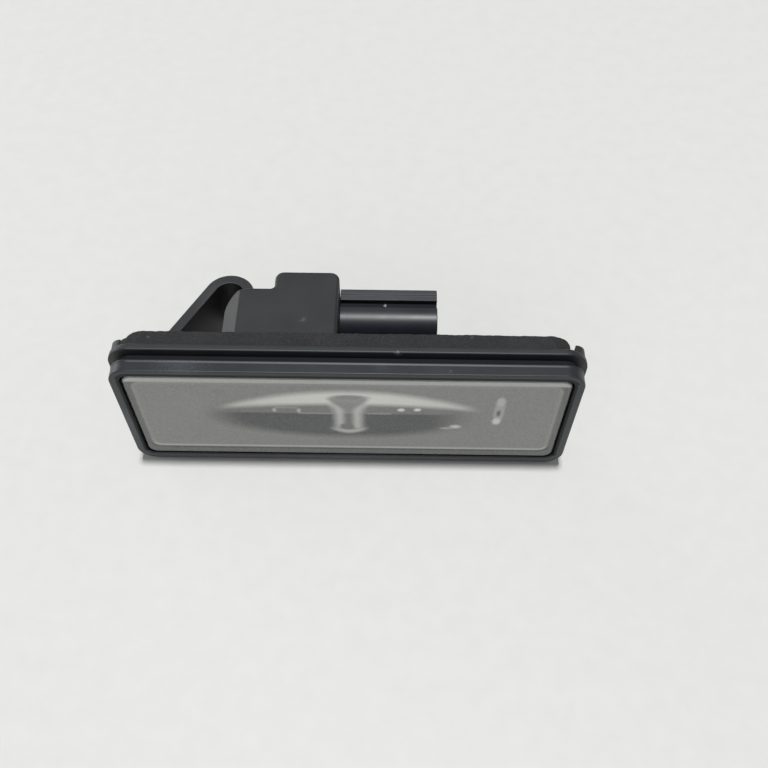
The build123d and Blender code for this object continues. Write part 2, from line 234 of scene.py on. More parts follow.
plasticShared = {  # what all the mouldings have in common: ramp stops are noise values
    "ior": 1.53, "grainBump": 0.5, "roughnessRange": (-0.05, 0.10),
    "cloudMm": 9.0, "cloudStops": [(0.35, "#000000"), (0.70, "#ffffff")], "cloudTone": 0.35,
    "scuffMm": 5.0, "scuffStops": [(0.60, "#000000"), (0.78, "#ffffff")],
    "scuffTurn": (0.4, 0.7, 0.5), "scuffStretch": (1.0, 7.0, 7.0),
}
markEdge = {"ragged": 2.4, "fade": (1.2, 1.9)}  # in radii of the mark
finishBoxes = {  # millimetres: opposite corners of boxes round parts of the housing
    "blackPbtPolished": ((-2.1, 7.0, -8.0), (16.5, 12.1, 8.0)),
    "blackPbtRubbed": ((-2.1, 14.3, 6.9), (16.5, 17.5, 8.0)),
    # painted shade in the key groove
    "blackPbtGrimy": ((-2.1, 12.3, 5.8), (16.5, 14.3, 7.0)),
}


# share of a mark, a worn place, speck or painted highlight, at every point: the distance to its middle, plus
# a noise that breaks up its outline, mapped from the mark's strength at the inner limit to none at the outer
# one
def markShare(tree, place, noise, mark):
    middle, radius, strength = mark
    inner, outer = (share * radius * mm for share in markEdge["fade"])
    far = addNode(tree, "ShaderNodeVectorMath",
                  {"operation": "DISTANCE", 1: [part * mm for part in middle]}, {0: place})
    ragged = addNode(tree, "ShaderNodeMath",
                     {"operation": "MULTIPLY_ADD", 1: markEdge["ragged"] * radius * mm},
                     {0: noise, 2: far.outputs["Value"]})
    near = addNode(tree, "ShaderNodeMapRange",
                   {"From Min": inner, "From Max": outer, "To Min": strength, "To Max": 0.0},
                   {"Value": ragged.outputs["Value"]})
    return near.outputs["Result"]


# moulded plastic: mould grain as bump, and a pale tone added up from a coarse cloudy noise, short scuffs by a
# stretched noise, and the single marks, which are worn places and painted highlights
def mouldedPlastic(name):
    v, shared = plasticFinish[name], plasticShared
    material, tree, output, place = startMaterial(name)
    grain = addNode(tree, "ShaderNodeTexNoise",
                    {"Scale": 1 / (v["grainMm"] * mm), "Detail": 2.0, "Roughness": 0.6}, {"Vector": place})
    cloud = addNode(tree, "ShaderNodeTexNoise",
                    {"Scale": 1 / (shared["cloudMm"] * mm), "Detail": 4.0, "Roughness": 0.62},
                    {"Vector": place})
    turned = addNode(tree, "ShaderNodeMapping",
                     {"Rotation": shared["scuffTurn"], "Scale": shared["scuffStretch"]}, {"Vector": place})
    scuff = addNode(tree, "ShaderNodeTexNoise",
                    {"Scale": 1 / (shared["scuffMm"] * mm), "Detail": 5.0, "Roughness": 0.7},
                    {"Vector": turned.outputs["Vector"]})
    scuffRamp = addNode(tree, "ShaderNodeValToRGB", links={"Fac": scuff.outputs["Fac"]})
    setStops(scuffRamp, shared["scuffStops"])
    cloudRamp = addNode(tree, "ShaderNodeValToRGB", links={"Fac": cloud.outputs["Fac"]})
    setStops(cloudRamp, shared["cloudStops"])
    scuffTone = addNode(tree, "ShaderNodeMath", {"operation": "MULTIPLY", 1: v["scuffs"]},
                        {0: scuffRamp.outputs["Color"]})
    wearAndPaintedLight = addNode(tree, "ShaderNodeMath", {"operation": "MULTIPLY_ADD", 1: shared["cloudTone"]},
                   {0: cloudRamp.outputs["Color"], 2: scuffTone.outputs["Value"]})
    for mark in v["marks"]:
        share = markShare(tree, place, grain.outputs["Fac"], mark)
        wearAndPaintedLight = addNode(tree, "ShaderNodeMath", {"operation": "ADD"}, {0: share, 1: wearAndPaintedLight.outputs["Value"]})
    colour = addNode(tree, "ShaderNodeMix",
                     {"data_type": "RGBA", "clamp_factor": False,
                      firstColour: linear(v["colour"]), secondColour: linear(v["pale"])},
                     {mixFactor: wearAndPaintedLight.outputs["Value"]})
    smoothest, roughest = (v["roughness"] + part for part in shared["roughnessRange"])
    rough = addNode(tree, "ShaderNodeMapRange", {"To Min": smoothest, "To Max": roughest},
                    {"Value": cloud.outputs["Fac"]})
    bump = addNode(tree, "ShaderNodeBump",
                   {"Strength": shared["grainBump"], "Distance": v["grainDepthMm"] * mm},
                   {"Height": grain.outputs["Fac"]})
    shader = addNode(tree, "ShaderNodeBsdfPrincipled",
                     {"IOR": shared["ior"], "Specular IOR Level": v["specular"]},
                     {"Base Color": colour.outputs[mixedColour], "Roughness": rough.outputs["Result"],
                      "Normal": bump.outputs["Normal"]})
    tree.links.new(shader.outputs["BSDF"], output.inputs["Surface"])
    return material


rimShape = {  # millimetres: the outline's half width, half height and corner, and the steps of the section
    "outline": (41.9, 15.1, 3.6), "wall": 1.8, "frontY": -8.8, "grooveY": -6.2, "seatY": -4.7,
    "neckInset": 1.0, "frontRound": 0.2, "rearRound": 0.25, "openingBevel": 0.2,
    "ridge": 0.07, "ridgeRun": 0.5,
    "alongMm": 0.4, "roundPoints": 7, "ridgePoints": 9, "sharpDegrees": 40,
    "lipInset": 1.3, "topLipInset": 0.9, "topZ": 12.5, "bottomZ": -12.5,  # where the painted shade on the lip begins and ends
}


# front frame: a section carried round the outline, each point set in along the outline's normal.
# The section has a round front edge, a quarter ellipse at the rear edge and a cosine ridge beside it.
def makeRim():
    s = rimShape
    turn, run = np.linspace(0, np.pi / 2, s["roundPoints"]), np.linspace(0, 1, s["ridgePoints"])[1:]
    ridgeY = s["grooveY"] - s["rearRound"]
    inset = np.concatenate([
        [s["wall"], s["neckInset"], s["neckInset"]],
        s["rearRound"] - (s["rearRound"] + s["ridge"]) * np.sin(turn),
        -s["ridge"] * (0.5 + 0.5 * np.cos(np.pi * run)),
        s["frontRound"] * (1 - np.cos(turn)),
        [s["topLipInset"], s["lipInset"], s["wall"] - s["openingBevel"], s["wall"]],
    ])
    y = np.concatenate([
        [s["seatY"], s["seatY"], s["grooveY"]],
        s["grooveY"] - s["rearRound"] * (1 - np.cos(turn)),
        ridgeY - s["ridgeRun"] * run,
        s["frontY"] + s["frontRound"] * (1 - np.sin(turn)),
        [s["frontY"], s["frontY"], s["frontY"], s["frontY"] + s["openingBevel"]],
    ])
    count = int(4 * sum(s["outline"][:2]) / s["alongMm"])
    outX, outZ, dirX, dirZ = (part[:, None] for part in outlinePath(*s["outline"], count))
    x, z = outX - dirX * inset, outZ - dirZ * inset
    points = np.stack([x, np.broadcast_to(y, x.shape), z], axis=-1).reshape(-1, 3)
    faces = gridFaces(count, len(y), closed=True).tolist()
    piece = makePiece("frameRim", points * mm, faces)
    smoothFaces(piece.data)
    piece.data.set_sharp_from_angle(angle=radians(s["sharpDegrees"]))
    facesOutward(piece)
    weightNormals(piece)
    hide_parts("front_frame")
    return piece


flangeEdge = {  # millimetres: the solid's chamfer, what is kept of it, and how near its points have to lie
    "outline": (42.7, 15.9, 4.4), "frontY": -4.7, "chamfer": 0.35, "kept": 0.12,
    "nearY": 0.01, "nearOutline": 0.02, "slopeStep": 0.001,
}


# draws the chamfer on the front of the flange in to a narrower one, by moving its two rings of points: the
# front ring along the slope of the outline distance, the side ring along Y
def sharpenFlange(mesh):
    s = flangeEdge
    points = np.empty(len(mesh.vertices) * 3)
    mesh.vertices.foreach_get("co", points)
    points = points.reshape(-1, 3) / mm
    x, y, z = points.T.copy()
    far = outlineDistance(x, z, *s["outline"])
    step = s["slopeStep"]
    outX = (outlineDistance(x + step, z, *s["outline"]) - far) / step
    outZ = (outlineDistance(x, z + step, *s["outline"]) - far) / step
    behind = y - s["frontY"]
    onFront = (np.abs(behind) < s["nearY"]) & (np.abs(far + s["chamfer"]) < s["nearOutline"])
    onSide = (np.abs(behind - s["chamfer"]) < s["nearY"]) & (np.abs(far) < s["nearOutline"])
    move = s["chamfer"] - s["kept"]
    points[onFront, 0] += move * outX[onFront]
    points[onFront, 2] += move * outZ[onFront]
    points[onSide, 1] -= move
    mesh.vertices.foreach_set("co", points.ravel() * mm)


housingEdge = {"mergeMm": 0.002, "flatDegrees": 0.4, "bevelMm": 0.16, "bevelSegments": 3, "bevelDegrees": 28}


# copy of the CAD housing with its points merged and its flats made whole, so that it shades smoothly over its
# rounds, and its edges softened by a bevel
def makeHousing(material):
    s = housingEdge
    mesh = nodes["housing"].data.copy()
    mesh.name = "housingShell"
    work = bmesh.new()
    work.from_mesh(mesh)
    bmesh.ops.remove_doubles(work, verts=work.verts, dist=s["mergeMm"] * mm)
    bmesh.ops.dissolve_limit(work, angle_limit=radians(s["flatDegrees"]), verts=work.verts, edges=work.edges)
    work.to_mesh(mesh)
    work.free()
    sharpenFlange(mesh)
    mesh.materials.clear()
    mesh.materials.append(material)
    smoothFaces(mesh)
    piece = bpy.data.objects.new("housingShell", mesh)
    bpy.context.scene.collection.objects.link(piece)
    bevel = piece.modifiers.new("edge", "BEVEL")
    bevel.width = s["bevelMm"] * mm
    bevel.segments = s["bevelSegments"]
    bevel.limit_method = "ANGLE"
    bevel.angle_limit = radians(s["bevelDegrees"])
    bevel.use_clamp_overlap = False  # one short edge would otherwise narrow the bevel everywhere
    weightNormals(piece)
    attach(piece, "root")
    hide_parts("housing")
    return piece


# middles of a piece's faces, in millimetres
def faceMiddles(piece):
    middle = np.empty(len(piece.data.polygons) * 3)
    piece.data.polygons.foreach_get("center", middle)
    return middle.reshape(-1, 3) / mm


# gives the chosen faces of a piece another finish
def finishFaces(piece, chosen, name):
    mesh = piece.data
    index = np.empty(len(mesh.polygons), np.int32)
    mesh.polygons.foreach_get("material_index", index)
    mesh.materials.append(mouldedPlastic(name))
    index[chosen] = len(mesh.materials) - 1
    mesh.polygons.foreach_set("material_index", index)


# finishes of the frame: satin, with painted shade on the inner lip of its front except at the bottom, and in
# the groove
def finishRim(piece):
    s = rimShape
    x, y, z = faceMiddles(piece).T
    lip = np.where(z > s["topZ"], s["topLipInset"], s["lipInset"])
    shadedLip = (y < s["frontY"] + s["openingBevel"]) & (-outlineDistance(x, z, *s["outline"]) > lip)
    piece.data.materials.append(mouldedPlastic("blackAbsSatin"))
    finishFaces(piece, shadedLip & (z > s["bottomZ"]), "blackAbsShadedLip")
    # painted shade in the groove
    finishFaces(piece, y > s["grooveY"], "blackAbsShadedGroove")


frameRim = makeRim()
finishRim(frameRim)
housingShell = makeHousing(mouldedPlastic("blackPbtMatt"))
faceMiddle = faceMiddles(housingShell)
for finish, (low, high) in finishBoxes.items():
    finishFaces(housingShell, np.all((faceMiddle > low) & (faceMiddle < high), axis=1), finish)
print("frame and housing dressed")


lensShape = {  # millimetres, the same sizes as the solid
    "halfWidth": 39.8, "halfHeight": 13.0, "corner": 1.9, "bevel": 0.3, "skirt": 1.2, "skirtCorner": 0.7,
    "frontY": -8.6, "backY": -7.4, "skirtEndY": -4.3,
    "fieldHalfWidth": 38.5, "fieldHalfHeight": 10.9, "fieldCorner": 1.9, "fieldStep": 0.35,
    "opticHalfLength": 27.0, "opticHalfHeight": 8.8, "opticRise": 3.2,
    "valleyHalfWidth": 0.6, "shoulderRun": 2.3, "toe": 0.25,
    "pins": [(28.6, -2.0), (-26.0, 6.8)], "pinRadius": 0.8, "pinEndY": -0.83, "pinGap": 0.03, "pinSides": 32,
    "gridMm": 0.25, "sharpDegrees": 24,
}


# even grid lines from -1 to 1 over a length, so that neighbouring points lie a set distance apart
def gridLines(halfLength, step):
    return np.linspace(-1, 1, int(2 * halfLength / step) // 2 * 2 + 1)


# square grid drawn into a rounded rectangle: inside each corner square the elliptical map
# a' = a sqrt(1 - b^2/2), b' = b sqrt(1 - a^2/2) turns the square corner into a quarter disc
def roundedGrid(u, v, halfWidth, halfHeight, corner):
    x, z = np.meshgrid(u * halfWidth, v * halfHeight, indexing="ij")
    a = np.clip((np.abs(x) - (halfWidth - corner)) / corner, 0, None)
    b = np.clip((np.abs(z) - (halfHeight - corner)) / corner, 0, None)
    inCorner = (a > 0) & (b > 0)
    shiftA = np.where(inCorner, a * np.sqrt(1 - b * b / 2) - a, 0) * corner
    shiftB = np.where(inCorner, b * np.sqrt(1 - a * a / 2) - b, 0) * corner
    return x + np.sign(x) * shiftA, z + np.sign(z) * shiftB


# places of a grid's rim points in order round it
def rimOrder(rows, columns):
    index = np.arange(rows * columns).reshape(rows, columns)
    return np.concatenate([index[:-1, 0], index[-1, :-1], index[:0:-1, -1], index[0, :0:-1]])


# optic height over the field: a barrel whose radius follows a long arc along X,
# cut down near the middle by a quarter-round shoulder that rises from the valley's floor
def opticHeight(x, z):
    s = lensShape
    rise = s["opticRise"]
    acrossRadius = (s["opticHalfHeight"] ** 2 + rise ** 2) / (2 * rise)
    alongRadius = (s["opticHalfLength"] ** 2 + rise ** 2) / (2 * rise)
    radius = acrossRadius - (alongRadius - np.sqrt(np.clip(alongRadius ** 2 - x ** 2, 0, None)))
    dome = np.sqrt(np.clip(radius ** 2 - z ** 2, 0, None)) - (acrossRadius - rise)
    run = np.clip((np.abs(x) - s["valleyHalfWidth"]) / s["shoulderRun"], 0, 1)
    shoulder = s["toe"] + (rise - s["toe"]) * (1 - np.sqrt(1 - run ** 2))
    valley = np.where(np.abs(x) < s["valleyHalfWidth"], 0, shoulder)
    return np.clip(np.minimum(dome, valley), 0, None)


# soft step from 0 to 1 as a value goes from one limit to the other, by 3t^2 - 2t^3
def softStep(low, high, value):
    t = np.clip((value - low) / (high - low), 0, 1)
    return t * t * (3 - 2 * t)


# soft line by the bell curve exp(-(d/h)^2) of the distance from it
def softLine(distance, half):
    return np.exp(-(distance / half) ** 2)


# distance from the middle of an oval, as a share of its half sizes
def ovalDistance(x, z, middle, half):
    return np.hypot((x - middle[0]) / half[0], (z - middle[1]) / half[1])


# soft oval spot: 1 inside, falling to 0 at its outline over the soft share of its half sizes
def softSpot(x, z, middle, half, soft):
    return 1 - softStep(1 - soft, 1, ovalDistance(x, z, middle, half))


# Millimetres on the front face. Tones go from 0, dark, to 1, pale, and paint the optic's reflections and the
# shade behind the frost. A pair is the two limits of a soft step.
lensFrostAndPaintedLight = {
    "fieldTone": 0.295,
    # crescent, a painted reflection of the light above in the optic's upper slope: height at the middle and
    # bend of its two limits, and how far they are soft
    "crescentTop": 9.6, "crescentTopBend": 0.0095, "crescentTopSoft": (-1.7, 0.7),
    "crescentLow": 5.2, "crescentLowBend": 0.0032, "crescentLowSoft": (-1.1, 0.9),
    "crescentEnd": (20.0, 26.0), "crescentFade": 0.0006, "crescentTone": 1.0,
    # stem, a painted reflection which flares into the crescent, and the darker funnel and oval in it, painted
    # shade
    "stemHalf": 2.5, "stemSoft": (-1.2, 1.0), "stemFlare": 2.2, "flareRun": 0.9, "stemFoot": (-3.8, -2.7),
    "stemShare": 0.66,
    "funnelHalf": 0.9, "funnelSoft": (-0.7, 0.9), "funnelFlare": 2.6, "funnelRise": (2.8, 7.0),
    "funnelTop": (6.8, 8.0), "funnelFoot": ((-0.3, -2.6), (1.9, 1.8), 0.5), "funnelShare": 0.80,
    "oval": ((0.2, 7.25), (4.8, 1.25), 0.6), "ovalShare": 0.85,
    # foot of the stem, a painted highlight
    "footLow": -4.75, "footRise": 0.42, "footRound": 1.1, "footThick": 0.62, "footEnd": (1.5, 4.1),
    "footTone": 0.66,
    # painted shade of the dark inside: an eye under the crescent, with a paler shelf above and a fading right
    # end
    "eyeMiddle": (-0.6, 0.9), "eyeHalf": (26.6, 8.0), "eyeEdge": (0.70, 1.04),
    "eyeTone": 0.02, "eyeFrost": 0.96,
    "shelfRise": (1.6, 2.2), "shelfShare": 0.75, "shelfTone": 0.28,
    "fadeRun": (14.0, 24.0), "fadeShare": 0.8,
    # painted light and shade of small things behind the frost, the pins and small parts: middle, half sizes,
    # softness and tone
    "spots": [
        ((9.7, 3.4), (0.9, 0.7), 0.6, 1.0), ((12.7, 3.5), (0.9, 0.7), 0.6, 1.0),
        ((20.0, -2.2), (1.5, 0.9), 0.7, 0.80), ((18.3, -2.8), (1.8, 0.6), 0.8, 0.50),
        ((27.7, 3.4), (1.15, 5.4), 0.35, 0.50), ((27.75, 6.4), (1.1, 1.9), 0.6, 0.64),
        ((27.65, 2.6), (0.55, 1.5), 0.7, 0.10), ((27.5, -0.1), (1.05, 1.5), 0.6, 0.88),
        ((-13.6, 2.9), (0.5, 0.9), 0.6, 0.62), ((-9.1, 2.8), (0.5, 1.0), 0.6, 0.62),
        ((-22.8, 8.6), (2.3, 1.6), 0.9, 0.27),
    ],
    # thin lines between them: from X, to X and at Z
    "traces": [(-9.5, -2.5, 1.9), (3.0, 8.2, 2.0), (-13.8, -9.0, 3.7)],
    "traceHalf": 0.2, "traceEnd": 0.6, "traceTone": 0.42,
    # frosted field in its border, with a painted highlight along its edge, painted shade in a crease below it
    # and on the border, and a painted reflection as a pale strip on top
    "fieldHalf": (38.3, 10.9), "fieldCorner": 1.6, "fieldLift": 0.49,
    "borderEdge": (-0.05, 0.35), "borderTone": 0.135, "bottomZ": (-9.8, -8.8),
    "lineAt": -0.15, "lineHalf": 0.3, "lineAbove": 0.12, "lineTone": 0.66,
    "creaseAt": 0.5, "creaseHalf": 0.22, "stripZ": (11.35, 11.75), "stripTone": 0.58,
}


# frost of the front, with the light and shade of the optic behind it painted into its tone: layers of tone,
# each laid over those before it by its own share. The crescent, a painted reflection, lies between two
# parabolas, the stem between two upright lines, and its foot, a painted highlight, along a blunt V.
def frostAndPaintedLight(x, z):
    f = lensFrostAndPaintedLight
    across = np.abs(x)
    overTop = z - (f["crescentTop"] - f["crescentTopBend"] * x ** 2)
    overLow = z - (f["crescentLow"] - f["crescentLowBend"] * x ** 2)
    underTop = 1 - softStep(*f["crescentTopSoft"], overTop)
    crescent = softStep(*f["crescentLowSoft"], overLow) * underTop * (1 - softStep(*f["crescentEnd"], across))
    stemHalf = f["stemHalf"] + f["stemFlare"] * np.exp(-np.clip(-overLow, 0, None) / f["flareRun"])
    stem = (1 - softStep(*f["stemSoft"], across - stemHalf)) * softStep(*f["stemFoot"], z)
    stem *= f["stemShare"] * underTop
    funnelHalf = f["funnelHalf"] + f["funnelFlare"] * softStep(*f["funnelRise"], z)
    funnel = (1 - softStep(*f["funnelSoft"], across - funnelHalf)) * (1 - softStep(*f["funnelTop"], z))
    funnel = np.maximum(funnel, softSpot(x, z, *f["funnelFoot"]))
    hollow = np.maximum(f["funnelShare"] * funnel, f["ovalShare"] * softSpot(x, z, *f["oval"]))
    bright = np.maximum(crescent, stem) * (1 - hollow) * (1 - f["crescentFade"] * x ** 2)
    footLine = f["footLow"] + f["footRise"] * np.sqrt(x ** 2 + f["footRound"] ** 2)
    foot = softLine(z - footLine, f["footThick"]) * (1 - softStep(*f["footEnd"], across))

    eye = 1 - softStep(*f["eyeEdge"], ovalDistance(x, z, f["eyeMiddle"], f["eyeHalf"]))
    shelf = f["shelfShare"] * eye * softStep(*f["shelfRise"], z)
    fading = f["fadeShare"] * softStep(*f["fadeRun"], x)
    # painted shade of the dark inside, where no crescent, foot, shelf or fade lies over it
    dark = eye * (1 - np.maximum.reduce([bright, foot, shelf, fading]))
    spots = [(spotTone, softSpot(x, z, *spot)) for *spot, spotTone in f["spots"]]
    traces = [softLine(z - atZ, f["traceHalf"]) * softStep(fromX, fromX + f["traceEnd"], x)
              * (1 - softStep(toX - f["traceEnd"], toX, x)) for fromX, toX, atZ in f["traces"]]

    edge = outlineDistance(x, z - f["fieldLift"], *f["fieldHalf"], f["fieldCorner"])
    strip = softStep(*f["stripZ"], z)
    bottom = 1 - softStep(*f["bottomZ"], z)
    line = softLine(edge - f["lineAt"], f["lineHalf"]) * (f["lineAbove"] + (1 - f["lineAbove"]) * bottom)
    border = softStep(*f["borderEdge"], edge)
    crease = softLine(edge - f["creaseAt"], f["creaseHalf"]) * bottom
    layers = [
        (f["shelfTone"], shelf), (f["eyeTone"], dark), (f["crescentTone"], bright), (f["footTone"], foot),
        *spots, *((f["traceTone"], trace) for trace in traces),
        (f["lineTone"], line * (1 - strip)), (f["borderTone"], border * (1 - strip)),
        (f["eyeTone"], crease), (f["stripTone"], strip),
    ]
    tone = np.full(x.shape, f["fieldTone"])
    for layerTone, share in layers:
        tone += (layerTone - tone) * share
    frost = np.maximum.reduce([1 - (1 - f["eyeFrost"]) * dark, *(share for _, share in spots)])
    return frost, tone


# points of round pins along Y: rings at both ends, closed by a point in the middle of each end
def makePins():
    s = lensShape
    turn = s["pinSides"]
    angle = np.arange(turn) / turn * 2 * np.pi
    places, startY = np.array(s["pins"]), s["backY"] + s["fieldStep"] + s["pinGap"]
    ring = s["pinRadius"] * np.stack([np.cos(angle), np.zeros(turn), np.sin(angle)], axis=-1)
    middle = np.stack([places[:, 0], np.full(len(places), startY), places[:, 1]], axis=-1)[:, None]
    end = middle + np.array((0, s["pinEndY"] - startY, 0))
    points = np.concatenate([middle, middle + ring, end + ring, end], axis=1)
    here = 1 + np.arange(turn)
    there = 1 + (np.arange(turn) + 1) % turn
    near = np.stack([np.zeros(turn, int), here, there], axis=-1)
    far = np.stack([np.full(turn, 2 * turn + 1), there + turn, here + turn], axis=-1)
    side = np.stack([here, here + turn, there + turn, there], axis=-1)
    shift = np.arange(len(places))[:, None, None] * (2 * turn + 2)
    caps = (np.concatenate([near, far])[None] + shift).reshape(-1, 3)
    return points.reshape(-1, 3), caps, (side[None] + shift).reshape(-1, 4)


# closed lens: front grid, bevel and skirt rings between its rim and the back grid's, the back with its optic,
# and pins
def makeLens():
    s = lensShape
    u, v = gridLines(s["halfWidth"], s["gridMm"]), gridLines(s["halfHeight"], s["gridMm"])
    rim = rimOrder(len(u), len(v))
    turn = len(rim)
    frontSize = (s["halfWidth"] - s["bevel"], s["halfHeight"] - s["bevel"], s["corner"] - s["bevel"])
    outerSize = (s["halfWidth"], s["halfHeight"], s["corner"])
    backSize = (s["halfWidth"] - s["skirt"], s["halfHeight"] - s["skirt"], s["skirtCorner"])
    frontX, frontZ = roundedGrid(u, v, *frontSize)
    front = np.stack([frontX, np.full(frontX.shape, s["frontY"]), frontZ], axis=-1).reshape(-1, 3)
    outerX, outerZ = (part.ravel()[rim] for part in roundedGrid(u, v, *outerSize))
    backX, backZ = roundedGrid(u, v, *backSize)
    levels = [(outerX, s["frontY"] + s["bevel"], outerZ), (outerX, s["skirtEndY"], outerZ),
              (backX.ravel()[rim], s["skirtEndY"], backZ.ravel()[rim])]
    rings = [np.stack([x, np.full(turn, y), z], axis=-1) for x, y, z in levels]

    gap = outlineDistance(backX, backZ, s["fieldHalfWidth"], s["fieldHalfHeight"], s["fieldCorner"])
    inField = np.clip(0.5 - gap / s["gridMm"], 0, 1)  # the step takes one grid square
    backY = s["backY"] + s["fieldStep"] * inField + opticHeight(backX, backZ)
    back = np.stack([backX, backY, backZ], axis=-1).reshape(-1, 3)
    pinPoints, pinCaps, pinSides = makePins()
    points = np.concatenate([front, *rings, back, pinPoints]) * mm
    ringStart = len(front)
    backStart = ringStart + len(rings) * turn
    pinStart = backStart + len(back)
    ringLoops = np.arange(ringStart, backStart).reshape(len(rings), turn)
    loops = np.concatenate([rim[None], ringLoops, backStart + rim[None]])
    here, there = loops[:-1], loops[1:]
    sides = np.stack([here, np.roll(here, -1, axis=1), np.roll(there, -1, axis=1), there], axis=-1)
    grids = [gridFaces(len(u), len(v)), gridFaces(len(u), len(v), start=backStart)[:, ::-1]]
    quads = np.concatenate([*grids, sides.reshape(-1, 4), pinSides + pinStart])
    faces = [*quads.tolist(), *(pinCaps + pinStart).tolist()]
    lens = makePiece("lensCover", points, faces)

    for name, value in zip(("frost", "tone"), frostAndPaintedLight(frontX, frontZ)):
        values = np.zeros(len(points), np.float32)
        values[:ringStart] = value.ravel()
        lens.data.attributes.new(name, "FLOAT", "POINT").data.foreach_set("value", values)
    smoothFaces(lens.data)
    lens.data.set_sharp_from_angle(angle=radians(s["sharpDegrees"]))
    facesOutward(lens)
    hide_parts("lens")
    return lens


lensFinish = {  # the frost's pits are finer than this grain, which is drawn as coarse as it needs to show
    "clear": "#f4f6f4", "shadedFrost": "#2b2d32", "litFrost": "#efefe8", "ior": 1.585,
    "clearRoughness": 0.02, "frostRoughness": 0.25, "frostThrough": 0.04,
    "grainMm": 0.30, "pitTone": 0.10, "pitDepthMm": 0.02, "pitBump": 0.3,
    "filmMm": 14.0, "filmTone": 0.03, "filmRoughness": 0.05,
}


# polycarbonate, injection moulded: clear and polished on its edges and back, with a frost on the front whose
# tone paints the light and shade of the optic behind it, under a gloss
def clearPolycarbonate():
    v = lensFinish
    material, tree, output, place = startMaterial("clearPolycarbonate")
    frost = addNode(tree, "ShaderNodeAttribute", {"attribute_name": "frost"}).outputs["Fac"]
    tone = addNode(tree, "ShaderNodeAttribute", {"attribute_name": "tone"}).outputs["Fac"]
    grain = addNode(tree, "ShaderNodeTexNoise", {"Scale": 1 / (v["grainMm"] * mm), "Detail": 2.0},
                    {"Vector": place})
    film = addNode(tree, "ShaderNodeTexNoise", {"Scale": 1 / (v["filmMm"] * mm), "Detail": 3.0},
                   {"Vector": place})
    cloudy = addNode(tree, "ShaderNodeMapRange", {"To Min": -v["filmTone"], "To Max": v["filmTone"]},
                     {"Value": film.outputs["Fac"]})
    pitted = addNode(tree, "ShaderNodeMapRange", {"To Min": -v["pitTone"], "To Max": v["pitTone"]},
                     {"Value": grain.outputs["Fac"]})
    filmed = addNode(tree, "ShaderNodeMath", {"operation": "ADD"}, {0: tone, 1: cloudy.outputs["Result"]})
    uneven = addNode(tree, "ShaderNodeMath", {"operation": "ADD"},
                     {0: filmed.outputs["Value"], 1: pitted.outputs["Result"]})
    # painted light and shade: the tone mixes the frost from shaded to lit
    frostWithPaintedLight = addNode(tree, "ShaderNodeMix",
                      {"data_type": "RGBA", firstColour: linear(v["shadedFrost"]),
                       secondColour: linear(v["litFrost"])}, {mixFactor: uneven.outputs["Value"]})
    colour = addNode(tree, "ShaderNodeMix", {"data_type": "RGBA", firstColour: linear(v["clear"])},
                     {mixFactor: frost, secondColour: frostWithPaintedLight.outputs[mixedColour]})
    polish = addNode(tree, "ShaderNodeMapRange",
                     {"To Min": v["clearRoughness"], "To Max": v["clearRoughness"] + v["filmRoughness"]},
                     {"Value": film.outputs["Fac"]})
    rough = addNode(tree, "ShaderNodeMix", {"data_type": "FLOAT", secondValue: v["frostRoughness"]},
                    {mixFactor: frost, firstValue: polish.outputs["Result"]})
    through = addNode(tree, "ShaderNodeMix",
                      {"data_type": "FLOAT", firstValue: 1.0, secondValue: v["frostThrough"]},
                      {mixFactor: frost})
    height = addNode(tree, "ShaderNodeMath", {"operation": "MULTIPLY"}, {0: frost, 1: grain.outputs["Fac"]})
    bump = addNode(tree, "ShaderNodeBump", {"Strength": v["pitBump"], "Distance": v["pitDepthMm"] * mm},
                   {"Height": height.outputs["Value"]})
    shader = addNode(tree, "ShaderNodeBsdfPrincipled", {"IOR": v["ior"]},
                     {"Base Color": colour.outputs[mixedColour], "Roughness": rough.outputs[mixedValue],
                      "Transmission Weight": through.outputs[mixedValue], "Normal": bump.outputs["Normal"]})
    tree.links.new(shader.outputs["BSDF"], output.inputs["Surface"])
    return material


lensCover = makeLens()
lensCover.data.materials.append(clearPolycarbonate())
print("lens made:", len(lensCover.data.polygons), "faces")


gasketShape = {  # millimetres; an outline is half width, half height and corner, from the solid
    "outer": (40.25, 15.1, 4.2), "inner": (34.25, 12.95, 3.25), "frontY": -3.2, "rearY": 0.0,
    "alongMm": 0.25, "facePoints": 14, "sidePoints": 12, "sideStart": 0.06,
    "waves": [(1.1, 4, 0.6), (4.0, 9, 0.5)],  # length, seed and share of each unevenness
    "raggedMm": 0.09, "raggedMiddle": 0.5, "raggedSwing": 0.4,
    "leftPullMm": 0.3, "leftShare": 0.75, "pressedCorner": 1.6, "pressedDepth": (0.50, 0.72),
}


